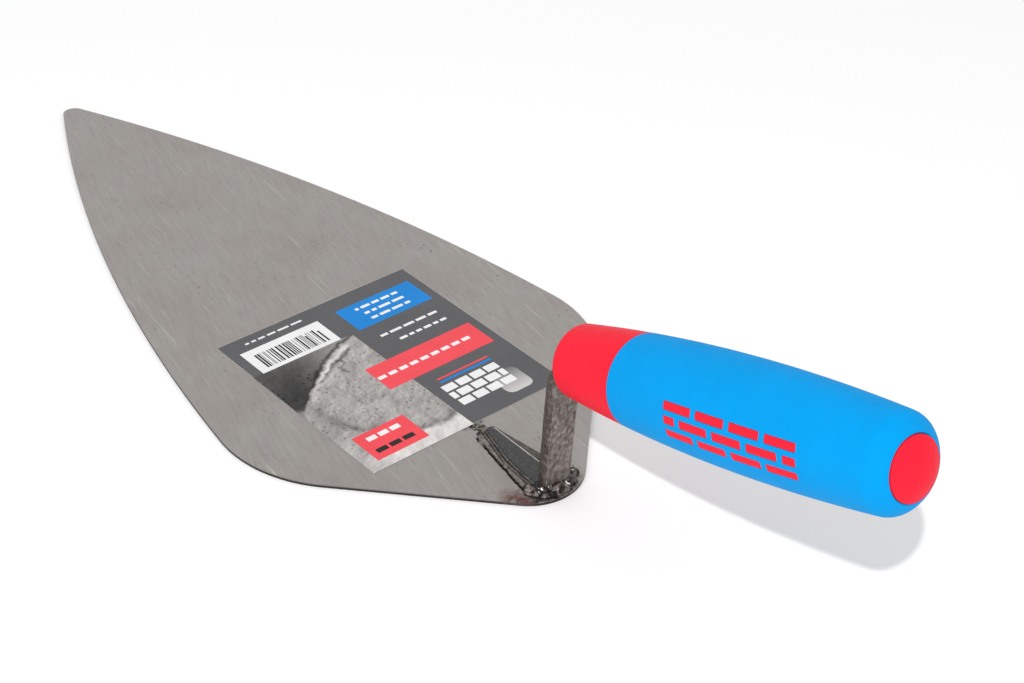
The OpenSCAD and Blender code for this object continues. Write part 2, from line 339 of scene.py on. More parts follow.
class Shader:
    """A small helper that adds nodes to one material."""

    def __init__(self, name):
        self.material = bpy.data.materials.new(name)
        self.material.use_nodes = True
        self.tree = self.material.node_tree
        self.surface = self.tree.nodes["Principled BSDF"]

    def node(self, kind, **inputs):
        made = self.tree.nodes.new(kind)
        for key, value in inputs.items():
            self.put(made, key, value)
        return made

    def put(self, node, key, value):
        socket = node.inputs[int(key[1:])] if key[0] == "i" and key[1:].isdigit() else node.inputs[key]
        if isinstance(value, bpy.types.NodeSocket):
            self.tree.links.new(value, socket)
        elif isinstance(value, tuple) and len(value) == 3 and len(socket.default_value) == 4:
            socket.default_value = (*value, 1)
        else:
            socket.default_value = value

    def math(self, operation, a, b=0.0, clamp=False):
        made = self.node("ShaderNodeMath", i0=a, i1=b)
        made.operation = operation
        made.use_clamp = clamp
        return made.outputs[0]

    def times(self, a, b):
        return self.math("MULTIPLY", a, b)

    def position(self, scale=(1, 1, 1), turn=0.0):
        """Object coordinates in metres, turned about Z and then scaled."""
        coords = self.node("ShaderNodeTexCoord").outputs["Object"]
        turned_by = self.node("ShaderNodeMapping", Vector=coords, Rotation=(0, 0, turn))
        return self.node("ShaderNodeMapping", Vector=turned_by.outputs[0], Scale=scale).outputs[0]

    def attribute(self, name):
        made = self.node("ShaderNodeAttribute")
        made.attribute_name = name
        return made.outputs["Fac"]

    def noise(self, vector, size, detail=4.0, roughness=0.55):
        """Noise whose features are about size across, in metres."""
        made = self.node("ShaderNodeTexNoise", Vector=vector, Scale=1 / size, Detail=detail)
        made.inputs["Roughness"].default_value = roughness
        return made.outputs["Fac"]

    def strokes(self, length, turn, width, detail, roughness):
        """Noise drawn out along parallel lines. The length is in widths."""
        return self.noise(self.position((1 / length, 1, 1), turn), width, detail, roughness)

    def part(self, vector, axis):
        return self.node("ShaderNodeSeparateXYZ", Vector=vector).outputs[axis]

    def ramp(self, fac, *stops):
        """A colour ramp from (position, value or colour) stops."""
        made = self.node("ShaderNodeValToRGB", Fac=fac)
        elements = made.color_ramp.elements
        while len(elements) < len(stops):
            elements.new(0.5)
        for element, (place, value) in zip(elements, stops):
            element.position = place
            colour = (value, value, value) if isinstance(value, (int, float)) else value
            element.color = (*colour, 1)
        return made.outputs["Color"]

    def mix(self, fac, a, b, kind="MIX"):
        made = self.node("ShaderNodeMix")
        made.data_type = "RGBA"
        made.blend_type = kind
        self.put(made, "i0", fac)
        self.put(made, "i6", a)
        self.put(made, "i7", b)
        return made.outputs[2]

    def shade(self, tone, fac, *stops):
        """The tone multiplied by a ramp."""
        return self.mix(1.0, tone, self.ramp(fac, *stops), "MULTIPLY")

    def near(self, centre, reach, soft):
        """1 inside an ellipsoid about centre, falling to 0 over the soft share of its reach."""
        coords = self.node("ShaderNodeTexCoord").outputs["Object"]
        offset = self.node("ShaderNodeVectorMath", i0=coords, i1=tuple(centre))
        offset.operation = "SUBTRACT"
        scaled = self.node("ShaderNodeVectorMath", i0=offset.outputs[0], i1=tuple(reach))
        scaled.operation = "DIVIDE"
        length = self.node("ShaderNodeVectorMath", i0=scaled.outputs[0])
        length.operation = "LENGTH"
        return self.ramp(length.outputs["Value"], (1 - soft, 1.0), (1.0, 0.0))

    def bump(self, height, distance, strength=1.0, normal=None):
        made = self.node("ShaderNodeBump", Height=height, Distance=distance, Strength=strength)
        if normal is not None:
            self.put(made, "Normal", normal)
        return made.outputs[0]

    def set(self, **inputs):
        for key, value in inputs.items():
            self.put(self.surface, key.replace("_", " "), value)
        return self.material


def linear(red, green, blue):
    """Linear colour from a display colour on a scale of 255."""
    channels = (c / 255 for c in (red, green, blue))
    return tuple(c / 12.92 if c <= 0.04045 else ((c + 0.055) / 1.055) ** 2.4 for c in channels)


def shaded(colour, factor):
    return tuple(c * factor for c in colour)


def moulded_plastic(name, colour, rough, grain, grain_depth):
    """Moulded plastic with a fine spark-eroded grain, both given in metres."""
    shader = Shader(name)
    place = shader.position()
    cloud = shader.noise(place, 9 * MM, 3)
    tone = shader.ramp(cloud, (0.3, shaded(colour, 0.94)), (0.7, colour))
    fine = shader.noise(place, grain, 2, 0.6)
    swell = shader.bump(shader.noise(place, 4 * MM, 2), 0.02 * MM, 0.6)
    return shader.set(
        Base_Color=shader.shade(tone, fine, (0.25, 0.93), (0.45, 1.0)),
        Roughness=shader.ramp(shader.noise(place, 2 * MM), (0.3, rough - 0.05), (0.7, rough + 0.06)),
        Specular_IOR_Level=0.06,
        Normal=shader.bump(fine, grain_depth, 0.7, swell),
    )


RED = (0.84, 0.016, 0.038)
BLUE = (0.0, 0.3, 0.72)
red_plastic = moulded_plastic("hard_red_plastic", RED, 0.45, 0.28 * MM, 0.02 * MM)
blue_plastic = moulded_plastic("soft_blue_plastic", BLUE, 0.62, 0.4 * MM, 0.035 * MM)


def ground_steel():
    """Ground carbon steel: long grinding lines, short nicks, heat tint and rust by the heel."""
    shader = Shader("ground_steel")
    lines = math.radians(10)
    place = shader.position()
    broad = shader.noise(place, 30 * MM, 4, 0.6)
    tone = shader.ramp(broad, (0.3, (0.405, 0.372, 0.352)), (0.7, (0.445, 0.425, 0.405)))
    pink = shader.noise(place, 7 * MM, 3)
    tone = shader.mix(shader.ramp(pink, (0.5, 0.0), (0.75, 0.35)), tone, (0.42, 0.365, 0.365))

    grind = shader.strokes(22, lines, 0.22 * MM, 5, 0.6)
    tone = shader.shade(tone, grind, (0.25, 0.9), (0.5, 1.0), (0.78, 1.07))
    stroke = shader.strokes(9, lines * 1.5, 1.1 * MM, 4, 0.6)
    tone = shader.shade(tone, stroke, (0.3, 0.93), (0.5, 1.0), (0.72, 1.07))

    nick = shader.strokes(4, lines * 0.8, 0.5 * MM, 2, 0.5)
    patch = shader.noise(place, 16 * MM, 2)
    where = shader.ramp(patch, (0.45, 0.0), (0.66, 0.9))
    nicks = shader.times(shader.ramp(nick, (0.66, 0.0), (0.71, 1.0)), where)
    tone = shader.mix(shader.times(nicks, 0.75), tone, (0.11, 0.1, 0.095))
    scratch = shader.strokes(60, lines * 0.6, 0.45 * MM, 1, 0.4)
    scratches = shader.ramp(scratch, (0.73, 0.0), (0.76, 1.0))
    tone = shader.mix(shader.times(scratches, 0.45), tone, (0.8, 0.78, 0.75))

    ragged = shader.noise(place, 1.6 * MM, 5, 0.7)
    tint = shader.near((4 * MM, 0, BLADE_TOP), (24 * MM, 15 * MM, 9 * MM), 0.5)
    tone = shader.mix(shader.times(tint, 0.5), tone, (0.37, 0.34, 0.315))
    smoke = shader.near((-0.5 * MM, 1.5 * MM, BLADE_TOP), (7.5 * MM, 12 * MM, 9 * MM), 0.35)
    smoke = shader.times(smoke, shader.ramp(ragged, (0.4, 0.0), (0.56, 0.9)))
    tone = shader.mix(smoke, tone, (0.05, 0.044, 0.04))
    rust = shader.near((-1.6 * MM, 12.6 * MM, 0.6 * MM), (9.5 * MM, 4.8 * MM, 5 * MM), 0.5)
    spread = shader.noise(shader.position((1.6, 0.6, 1), 0.5), 1.3 * MM, 5, 0.7)
    rust = shader.times(rust, shader.ramp(spread, (0.38, 0.3), (0.5, 1.0)))
    tone = shader.mix(rust, tone, (0.1, 0.036, 0.027))
    toe = shader.near((35 * MM, 0.6 * MM, BLADE_TOP), (1.8 * MM, 4.4 * MM, 3 * MM), 0.5)
    toe = shader.times(toe, shader.ramp(ragged, (0.42, 0.0), (0.5, 1.0)))
    tone = shader.mix(toe, tone, (0.02, 0.02, 0.02))

    # Painted shade: the blade's upright side faces are darkened nearly to black, most towards the floor.
    normal = shader.node("ShaderNodeNewGeometry").outputs["Normal"]
    level = shader.math("ABSOLUTE", shader.part(normal, "Z"))
    share = shader.math("DIVIDE", shader.part(place, "Z"), BLADE_TOP)
    upright = shader.ramp(level, (0.3, 1.0), (0.9, 0.0))
    edge = shader.times(upright, shader.ramp(share, (0.5, 1.0), (0.85, 0.25)))
    tone = shader.mix(edge, tone, (0.06, 0.056, 0.054))
    marks = shader.math("ADD", nicks, smoke, clamp=True)
    rough = shader.mix(marks, shader.ramp(grind, (0.3, 0.40), (0.7, 0.5)), (0.65, 0.65, 0.65))
    relief = shader.math("SUBTRACT", grind, shader.times(nicks, 1.5))
    return shader.set(
        Base_Color=tone,
        Metallic=shader.ramp(rust, (0.2, 1.0), (0.8, 0.25)),
        Roughness=rough,
        Normal=shader.bump(relief, 0.012 * MM, 0.5),
    )


def forged_steel():
    """Scaled forged steel. The attribute wear runs from 0, burnt scale, to 1, bright bare metal; its
    bright end also carries painted highlights.
    """
    shader = Shader("forged_steel")
    place = shader.position()
    grain = shader.noise(place, 1.5 * MM, 5, 0.62)
    fine = shader.noise(place, 0.42 * MM, 3, 0.6)
    patch = shader.noise(place, 3.2 * MM, 3)
    mottle = shader.math("ADD", shader.times(grain, 0.65), shader.times(fine, 0.35))
    scale_tone = shader.ramp(
        mottle, (0.36, (0.085, 0.07, 0.063)), (0.5, (0.185, 0.158, 0.144)), (0.64, (0.36, 0.325, 0.3))
    )
    warm = shader.mix(shader.ramp(patch, (0.45, 0.0), (0.65, 0.45)), scale_tone, (0.13, 0.097, 0.083))
    drawn = shader.noise(shader.position((1, 1, 0.12)), 0.9 * MM, 4, 0.6)
    warm = shader.shade(warm, drawn, (0.36, 0.78), (0.5, 1.0), (0.66, 1.18))
    charcoal = shader.ramp(
        fine, (0.3, (0.055, 0.055, 0.057)), (0.6, (0.09, 0.09, 0.091)), (0.72, (0.19, 0.19, 0.185))
    )
    bright = shader.ramp(grain, (0.3, (0.48, 0.47, 0.45)), (0.7, (0.74, 0.73, 0.71)))
    wear_and_highlight = shader.attribute("wear_and_highlight")
    tone = shader.mix(shader.ramp(wear_and_highlight, (0.1, 0.0), (0.32, 1.0)), charcoal, warm)
    tone = shader.mix(shader.ramp(wear_and_highlight, (0.68, 0.0), (0.92, 1.0)), tone, bright)
    shade = shader.attribute("shade")
    tone = shader.shade(tone, shade, (0.0, 0.25), (1.0, 1.0))
    return shader.set(
        Base_Color=tone,
        Metallic=0.75,
        Roughness=shader.ramp(mottle, (0.35, 0.62), (0.65, 0.42)),
        Normal=shader.bump(mottle, 0.05 * MM, 0.6),
    )


def weld_metal():
    """Weld bead metal. The attribute shade is painted shade that darkens crevices, and the gloss attribute
    marks molten drops, which are glossier and carry small painted glints.
    """
    shader = Shader("weld_metal")
    place = shader.position()
    grain = shader.noise(place, 0.9 * MM, 5, 0.65)
    fine = shader.noise(place, 0.3 * MM, 3)
    body = shader.ramp(
        grain, (0.3, (0.15, 0.125, 0.112)), (0.52, (0.29, 0.255, 0.235)), (0.7, (0.46, 0.425, 0.4))
    )
    green = shader.ramp(shader.noise(place, 2.4 * MM), (0.55, 0.0), (0.7, 0.35))
    body = shader.mix(green, body, (0.14, 0.145, 0.125))
    shade = shader.attribute("shade")
    tone = shader.shade(body, shade, (0.0, 0.05), (1.0, 1.0))
    gloss_and_glint = shader.attribute("gloss_and_glint")
    # Painted glints: small white, mostly non-metallic spots on the glossy drops.
    spark = shader.ramp(shader.noise(place, 1.6 * MM, 2), (0.6, 0.0), (0.64, 1.0))
    spark = shader.times(spark, shader.ramp(gloss_and_glint, (0.5, 0.0), (0.7, 1.0)))
    tone = shader.mix(spark, tone, (0.95, 0.95, 0.94))
    rough = shader.mix(gloss_and_glint, shader.ramp(grain, (0.35, 0.6), (0.65, 0.45)), (0.38, 0.38, 0.38))
    return shader.set(
        Base_Color=tone,
        Metallic=shader.ramp(spark, (0.0, 0.9), (1.0, 0.1)),
        Roughness=rough,
        Normal=shader.bump(fine, 0.03 * MM, 0.5),
    )


steel = ground_steel()
forged = forged_steel()
weld = weld_metal()

# ---------------------------------------------------------------- blade


def build_blade():
    blade = nodes["blade"]
    blade.data.materials.clear()
    blade.data.materials.append(steel)
    arris = blade.modifiers.new("arris", "BEVEL")
    arris.width = 0.12 * MM
    arris.segments = 2
    arris.limit_method = "ANGLE"
    arris.angle_limit = math.radians(50)
    arris.harden_normals = True


# ---------------------------------------------------------------- stem

UP = Vector((-math.sin(LEAN), 0, math.cos(LEAN)))
FORWARD = Vector((math.cos(LEAN), 0, math.sin(LEAN)))
BEND_TURN = math.acos(max(-1, min(1, UP.dot(GRIP_AXIS))))
BEND_TANGENT = BEND_R * math.tan(BEND_TURN / 2)
UPRIGHT_L = CROSSING_Z / math.cos(LEAN) - BEND_TANGENT


def bar_section(point, forward, width=BAR_W):
    """The bar's rounded section about a point, with forward as its front."""
    radii = (FRONT_CORNER_R, REAR_CORNER_R, REAR_CORNER_R, FRONT_CORNER_R)
    outline = rounded(BAR_D / 2, width / 2, radii, 5)
    return [point + x * forward + Vector((0, y, 0)) for x, y in outline]


def bend_frame(angle):
    """Point and front direction at an angle round the bend."""
    forward = FORWARD * math.cos(angle) + UP * math.sin(angle)
    return UP * UPRIGHT_L + BEND_R * (forward - FORWARD), forward


def along_foot(x, upright, knee, toe):
    """A width that runs straight from the upright to the knee and on to the toe."""
    if x < FOOT_KNEE_X:
        return upright + (knee - upright) * (x - WELD_FROM) / (FOOT_KNEE_X - WELD_FROM)
    return knee + (toe - knee) * (x - FOOT_KNEE_X) / (TOE_X - FOOT_KNEE_X)


def foot_side(x, side):
    """The foot's half width at distance x from the origin: wider on the +Y side."""
    if side > 0:
        return along_foot(x, FOOT_NEAR_W, FOOT_KNEE_W, TOE_W / 2 + TOE_Y)
    toe = TOE_W / 2 - TOE_Y
    return along_foot(x, FOOT_FAR_W, (FOOT_FAR_W + toe) / 2, toe)


def foot_outline(inset, z):
    """The foot's plan at a height, drawn in by inset."""
    toe_r = TOE_W / 2 - inset
    runs = steps(WELD_FROM, TOE_X, 1.5 * MM)[:-1]
    rear_x, rear_y = inset - BAR_D / 2, BAR_W / 2 - inset
    near = [(rear_x, rear_y)] + [(x, foot_side(x, 1) - inset) for x in runs]
    toe = [(TOE_X + toe_r * math.sin(a), TOE_Y + toe_r * math.cos(a)) for a in steps(0, math.pi, 0.3)]
    far = [(x, inset - foot_side(x, -1)) for x in reversed(runs)] + [(rear_x, -rear_y)]
    return [Vector((x, y, z)) for x, y in near + toe + far]


def build_stem():
    upright = [(UP * length, FORWARD) for length in steps(FOOT_TOP - 1.5 * MM, UPRIGHT_L, 1.5 * MM)]
    bend = [bend_frame(a) for a in steps(0, BEND_TURN, 0.08)[1:]]
    bar = loft([bar_section(*place) for place in upright + bend])
    crown = 0.35 * MM
    foot = loft([
        foot_outline(0, BLADE_TOP + 0.02 * MM),
        foot_outline(0, FOOT_TOP - crown),
        foot_outline(0.12 * MM, FOOT_TOP - crown / 3),
        foot_outline(crown, FOOT_TOP),
    ])
    body = fused("stem_body", joined(bar, foot), 0.27 * MM)

    def scale(place, normal):
        if place.z > FOOT_TOP + 0.4 * MM:
            flat = 0.045 * fractal(place, 1.3 * MM, 3) + 0.03 * fractal(place, 4 * MM, 2, 5)
            return flat * MM
        return 0.02 * fractal(place, 2 * MM, 3, 9) * MM

    def rim(place, side, start, end):
        """1 at the foot's edge on one side, falling to 0 between two distances in from it."""
        inward = foot_side(place.x, side) - side * place.y
        return blend(start * MM, end * MM, inward)

    # Painted highlights: the post's rounded rear corners and the foot's near top edge are lightened, and
    # the far top edge is worn bright and also given a painted highlight.
    def wear_and_highlight(place, normal):
        if place.z > FOOT_TOP + 0.3 * MM:
            arris = blend(0.15, 0.3, abs(normal.y)) * (1 - blend(0.4, 0.55, abs(normal.y)))
            return 0.5 + 0.26 * arris * (normal.x < 0.2)
        broken = blend(-0.5, 0.4, fractal(place, 3 * MM, 2, 3))
        ground_edge_sheen = rim(place, -1, 0.95, 0.5) * blend(0.2, 0.6, normal.z)
        lit = 0.62 * rim(place, 1, 0.5, 0.2) * broken * (normal.z > 0.4)
        return max(ground_edge_sheen, lit, 0.04)

    def shade(place, normal):
        if place.z > FOOT_TOP + 0.3 * MM:
            side = 0.5 * blend(0.4, 0.6, normal.y) + 0.3 * blend(0.5, 0.8, -normal.y)
            low = 0.25 * (1 - blend(3, 9, place.z / MM))
            return 1 - side - low
        if normal.z < 0.4:
            return 0.25
        return 1 - 0.75 * rim(place, 1, 1.0, 0.6) * (1 - rim(place, 1, 0.5, 0.25))

    displace(body, scale)
    tang_at, forward = bend_frame(BEND_TURN)
    tang_from = BEND_TANGENT - COLLAR_GAP
    neck = BAR_W - 2 * NOTCH_D
    places = [(tang_from - 0.5 * MM, BAR_W)]
    for i in (2, 1, 0):
        start = TANG_L - LAST_NOTCH - i * NOTCH_PITCH
        end = start + NOTCH_L
        places += [(start, BAR_W), (start, neck), (end, neck), (end, BAR_W)]
    places += [(TANG_L - TANG_CHAMFER, BAR_W), (TANG_L, BAR_W - 2 * TANG_CHAMFER)]
    tang = loft([
        bar_section(tang_at + (s - tang_from) * GRIP_AXIS, forward, width) for s, width in places
    ])
    whole = bmesh.new()
    whole.from_mesh(body)
    whole.from_mesh(mesh_from("tang", *tang))
    mesh = bpy.data.meshes.new("stem_forging")
    whole.to_mesh(mesh)
    whole.free()
    mesh.shade_smooth()
    mesh.set_sharp_from_angle(angle=math.radians(50))
    paint(mesh, "wear_and_highlight", wear_and_highlight)
    paint(mesh, "shade", shade)
    new_piece("stem_forging", mesh, forged, ("stem",))


# ---------------------------------------------------------------- welds


def build_side_weld(name, side):
    """A fillet along the foot: two fine grooves by the foot, a streaked slope and a ragged toe."""
    rows = steps(WELD_FROM - 0.6 * MM, TOE_X + 1.6 * MM, 0.22 * MM)
    cols = steps(0, 1, 1 / 40)
    drop = FOOT_TOP - 0.12 * MM - BLADE_TOP
    sections, shades = [], []
    for x in rows:
        section = []
        share = (x - WELD_FROM) / (TOE_X - WELD_FROM)
        inner = max(foot_side(x, side), 0.4 * MM) - 0.15 * MM
        ragged = 0.35 * MM * fractal(Vector((x, side * 7 * MM, 0)), 2.2 * MM, 4)
        outer = (WELD_W + (WELD_TOE_W - WELD_W) * share) / 2 - 0.3 * MM + ragged
        width = outer - inner
        for v in cols:
            y = side * (inner + v * width)
            streak = fractal(Vector((x / 7, y, 0)), 0.8 * MM, 3, 2)
            lump = fractal(Vector((x, y, 0)), 2.5 * MM, 3, 4)
            body = math.sin(math.pi * v) * (1 if side > 0 else 0.35)
            z = drop * (1 - v) ** 0.9 + 0.08 * MM * streak * body + 0.12 * MM * lump * body
            inward = v * width / MM
            groove = bell(inward - 0.3, 0.17) * (side > 0)
            second = bell(inward - 1.0, 0.2) * (side > 0)
            z -= (0.3 * groove + 0.2 * second) * MM * blend(0, 0.3, 1 - v)
            section.append(Vector((x, y, BLADE_TOP + max(z, 0.01 * MM))))
            break_up = blend(-0.35, -0.15, fractal(Vector((x, side * 3 * MM, 0)), 6 * MM, 2, 8))
            undercut = blend(width - 0.75 * MM, width - 0.4 * MM, v * width) * break_up
            # Painted shade: the two grooves are darkened, and the far bead below is painted darker all
            # over.
            dark = max(0.95 * groove, 0.85 * second * blend(-0.6, 0.2, lump), undercut)
            if side < 0:
                dark = 0.3 * undercut
                tone = 0.36 + 0.14 * streak
            else:
                crest = bell(inward - width / MM * 0.6, 0.7)
                tone = 0.66 + 0.26 * crest + 0.26 * streak + 0.12 * lump
            shades.append(min(max(tone * (1 - dark), 0), 1))
        for corner in (section[-1], section[0]):
            section.append(Vector((corner.x, corner.y, BLADE_TOP)))
            shades.append(0.1)
        sections.append(section)
    mesh = mesh_from(name, *loft(sections), 60)
    store(mesh, "shade", shades)
    return mesh


def build_heel_weld():
    """Uneven drops of weld metal, run together round the back of the upright."""
    reach = WELD_FROM - HEEL_X - 0.5 * MM
    random.seed(7)
    drops = []
    for _ in range(26):
        angle = math.radians(random.uniform(-86, 86))
        out = random.uniform(0.5, 0.9)
        x = WELD_FROM - reach * out * math.cos(angle)
        y = WELD_W / 2 * out * math.sin(angle)
        size = random.uniform(0.9, 2.2) * MM
        height = size * random.uniform(0.35, 0.75)
        length = size * random.uniform(0.9, 1.6)
        drops.append(ball((x, y, BLADE_TOP + height / 4), (size * 1.1, length, height)))
    for k in range(8):
        y = (k - 3.5) * 1.35 * MM
        size = random.uniform(0.8, 1.6) * MM
        x = -BAR_D / 2 - random.uniform(-0.2, 0.5) * MM
        place = (x, y, BLADE_TOP + random.uniform(0.6, 1.9) * MM)
        drops.append(ball(place, (size, size * 1.3, size * 1.2)))
    for side in (-1, 1):
        for k in range(5):
            size = random.uniform(0.9, 1.5) * MM
            y = side * random.uniform(5.2, 7.2) * MM
            drops.append(ball((k * 0.9 * MM - MM, y, BLADE_TOP + 0.6 * MM), (size, size, size * 0.9)))
    levels = ((0.99, 0.02), (0.95, 0.5), (0.72, 1.5), (0.5, 2.2))
    half_ring = arc((0, 0), 1, 1, 3, 24)
    bed = [
        [
            Vector((WELD_FROM + grow * reach * x, grow * WELD_W / 2 * y, BLADE_TOP + z * MM))
            for x, y in half_ring
        ]
        for grow, z in levels
    ]
    mesh = fused("weld_bead_heel", joined(loft(bed), *drops), 0.18 * MM, 2)
    displace(mesh, lambda place, normal: 0.16 * MM * fractal(place, 1.7 * MM, 4, 6))
    for vertex in mesh.vertices:
        vertex.co.z = min(max(vertex.co.z, BLADE_TOP + 0.005 * MM), BLADE_TOP + HEEL_WELD_H)
        vertex.co.x = max(vertex.co.x, HEEL_X + 0.15 * MM)
    mesh.update()

    def shade(place, normal):
        pit = blend(-0.25, 0.25, fractal(place, 2.2 * MM, 3, 12))
        far = 1 - 0.55 * blend(1, 5, -place.y / MM)
        under = 1 - 0.75 * blend(-3.6, -2.6, place.x / MM) * blend(4, 2, abs(place.y) / MM)
        return (0.06 + 0.94 * pit) * (0.35 + 0.65 * blend(0.0, 0.5, normal.z)) * far * under

    # Glossy, upward-facing drops; the weld material puts painted glints on them.
    def gloss_and_glint(place, normal):
        return blend(0.0, 0.2, fractal(place, 2.4 * MM, 3, 15)) * blend(0.3, 0.6, normal.z)

    paint(mesh, "shade", shade)
    paint(mesh, "gloss_and_glint", gloss_and_glint)
    return mesh


def build_toe_weld():
    """A small run of drops that closes the foot's toe."""
    random.seed(3)
    drops = []
    for k in range(9):
        share = k / 8
        x = FOOT_REACH - 1.2 * MM + share * (WELD_REACH - FOOT_REACH)
        size = (1.35 - 0.6 * share) * random.uniform(0.8, 1.1) * MM
        y = TOE_Y * (1 - share) + random.uniform(-1.6, 1.6) * MM
        radii = (size * 1.3, size * 1.2, size * (0.9 - 0.6 * share))
        drops.append(ball((x, y, BLADE_TOP + 0.1 * MM), radii))
    for k in range(7):
        place = (TOE_X + random.uniform(1.4, 2.6) * MM, (k - 3) * 0.8 * MM + TOE_Y, BLADE_TOP)
        length, height = random.uniform(1.2, 1.8) * MM, random.uniform(0.3, 0.5) * MM
        drops.append(ball(place, (length, 0.9 * MM, height)))
    mesh = fused("weld_bead_toe", joined(*drops), 0.16 * MM, 2)
    displace(mesh, lambda place, normal: 0.08 * MM * fractal(place, 1.1 * MM, 4, 21))
    for vertex in mesh.vertices:
        vertex.co.z = max(vertex.co.z, BLADE_TOP - 0.3 * MM)
    mesh.update()
    paint(mesh, "shade", lambda p, n: 0.1 + 0.9 * blend(-0.1, 0.4, fractal(p, 1.3 * MM, 4, 23)))
    paint(mesh, "gloss_and_glint", lambda p, n: 0.5 * blend(0.2, 0.6, fractal(p, 1.5 * MM, 3, 25)))
    return mesh


def build_welds():
    beads = (
        ("weld_bead_left", build_side_weld("weld_bead_left", 1), "weld_left"),
        ("weld_bead_right", build_side_weld("weld_bead_right", -1), "weld_right"),
        ("weld_bead_heel", build_heel_weld(), "weld_heel"),
        ("weld_bead_toe", build_toe_weld(), "weld_toe"),
    )
    for name, mesh, replaced in beads:
        new_piece(name, mesh, weld, (replaced,))


# ---------------------------------------------------------------- handle

BRICK_CORNER = 0.35 * MM
UNROLLED_R = 14 * MM


def brick_places():
    """(distance, angle, half length) of each brick's middle, in running bond on both sides."""
    half_brick = (BRICK_L - JOINT) / 2
    for side in (1, -1):
        for course in range(COURSES):
            angle = side * (PATTERN_ANGLE + COURSE_STEP * (course - (COURSES - 1) / 2))
            lengths = [BRICK_L] * BRICKS
            if course % 2:
                lengths = [half_brick] + [BRICK_L] * (BRICKS - 1) + [half_brick]
            s = PATTERN_S
            for length in lengths:
                yield s + length / 2, angle % TURN, length / 2
                s += length + JOINT


def brick_ring(half_l, inset):
    """A rounded brick outline as (along, across) points, drawn in by inset."""
    l, h = half_l - inset, BRICK_H / 2 - inset
    r = max(BRICK_CORNER - inset, 0.02 * MM)
    along = [l - r - 2 * (l - r) * k / 12 for k in range(1, 12)]
    across = [h - r - 2 * (h - r) * k / 4 for k in range(1, 4)]
    return rounded(l, h, [r] * 4, 4, along, across)


def brick_point(place, point, depth):
    """A brick outline's point on the handle, at a depth under the skin."""
    s = place[0] + point[0]
    return on_handle(s, skin_radius(s) - depth, place[1] + point[1] / UNROLLED_R)


def grip_profile():
    """(s, radius) points over the grip, from inside the collar's seam to inside the cap's."""
    start = COLLAR_LENGTH + SEAM
    edge = skin_radius(start) - SEAM_R
    front = [(start, edge - d) for d in (1.9 * MM, 0.9 * MM)]
    front += arc((start + SEAM_R, edge), SEAM_R, 2, 1)[:-1]
    hole = CAP_R + SEAM
    rim = 0.45 * MM
    rim_s = dome_s(hole + rim)
    barrel = [(s, skin_radius(s)) for s in steps(start + SEAM_R, ROUND_END.x, 0.9 * MM)[:-1]]
    dome = [(dome_s(r), r) for r in steps(ROUND_END.y, hole + rim, 0.5 * MM)]
    back = arc((rim_s - rim, hole + rim), rim, 0, -1)[1:]
    inside = [(rim_s - rim - d, hole) for d in (0.9 * MM, 3.5 * MM)]
    return front + barrel + dome + back + inside


def build_grip():
    """The soft sleeve: its skin is laid out flat, cut with the brick windows and wrapped."""
    profile = grip_profile()
    travel = [0.0]
    for (s0, r0), (s1, r1) in zip(profile, profile[1:]):
        travel.append(travel[-1] + math.hypot(s1 - s0, r1 - r0))

    def wrapped(t, across):
        i = min(max(bisect.bisect_right(travel, t) - 1, 0), len(profile) - 2)
        share = (t - travel[i]) / (travel[i + 1] - travel[i])
        (s0, r0), (s1, r1) = profile[i], profile[i + 1]
        return on_handle(s0 + share * (s1 - s0), r0 + share * (r1 - r0), across / UNROLLED_R)

    def laid(s):
        i = min(range(len(profile)), key=lambda k: abs(profile[k][0] - s) + (profile[k][1] < 9 * MM))
        j = i + 1 if s > profile[i][0] else i - 1
        return travel[i] + (travel[j] - travel[i]) * (s - profile[i][0]) / (profile[j][0] - profile[i][0])

    lip = 0.14 * MM
    places = list(brick_places())
    centres = [(laid(s), angle * UNROLLED_R, half) for s, angle, half in places]
    points, edges, rings = [], [], []
    for t, across, half in centres:
        first = len(points)
        outline = brick_ring(half, -lip)
        points += [Vector((t + x, across + y)) for x, y in outline]
        edges += [(first + k, first + (k + 1) % len(outline)) for k in range(len(outline))]
        rings.append(len(outline))
    clear = lip + 0.3 * MM
    segments = 144
    for t in travel:
        for k in range(segments + 1):
            across = TURN * k / segments * UNROLLED_R
            if not any(
                abs(t - ct) < half + clear and abs(across - ca) < BRICK_H / 2 + clear
                for ct, ca, half in centres
            ):
                points.append(Vector((t, across)))
    flat, _, faces, _, _, _ = delaunay_2d_cdt(points, edges, [], 0, 1e-8)

    def in_window(face):
        middle = sum((flat[k] for k in face), Vector((0, 0))) / len(face)
        for ct, ca, half in centres:
            x, y = abs(middle.x - ct) - half - lip, abs(middle.y - ca) - BRICK_H / 2 - lip
            corner = BRICK_CORNER + lip
            if x < 0 and y < 0 and not (
                x > -corner and y > -corner and math.hypot(x + corner, y + corner) > corner
            ):
                return True
        return False

    vertices = [wrapped(*p) for p in flat]
    faces = [face for face in faces if not in_window(face)]
    walls = [(-lip, 0.0), (-0.05 * MM, 0.03 * MM), (0.0, 0.14 * MM), (0.0, 1.5 * MM)]
    for place, count in zip(places, rings):
        start = len(vertices)
        for inset, depth in walls:
            vertices += [brick_point(place, point, depth) for point in brick_ring(place[2], inset)]
        for i in range(len(walls) - 1):
            faces += ring_faces(start + i * count, start + (i + 1) * count, count)
    mesh = mesh_from("grip_sleeve", vertices, faces, sharp_angle=180, merge=3e-6)
    new_piece("grip_sleeve", mesh, blue_plastic, ("soft_grip",))


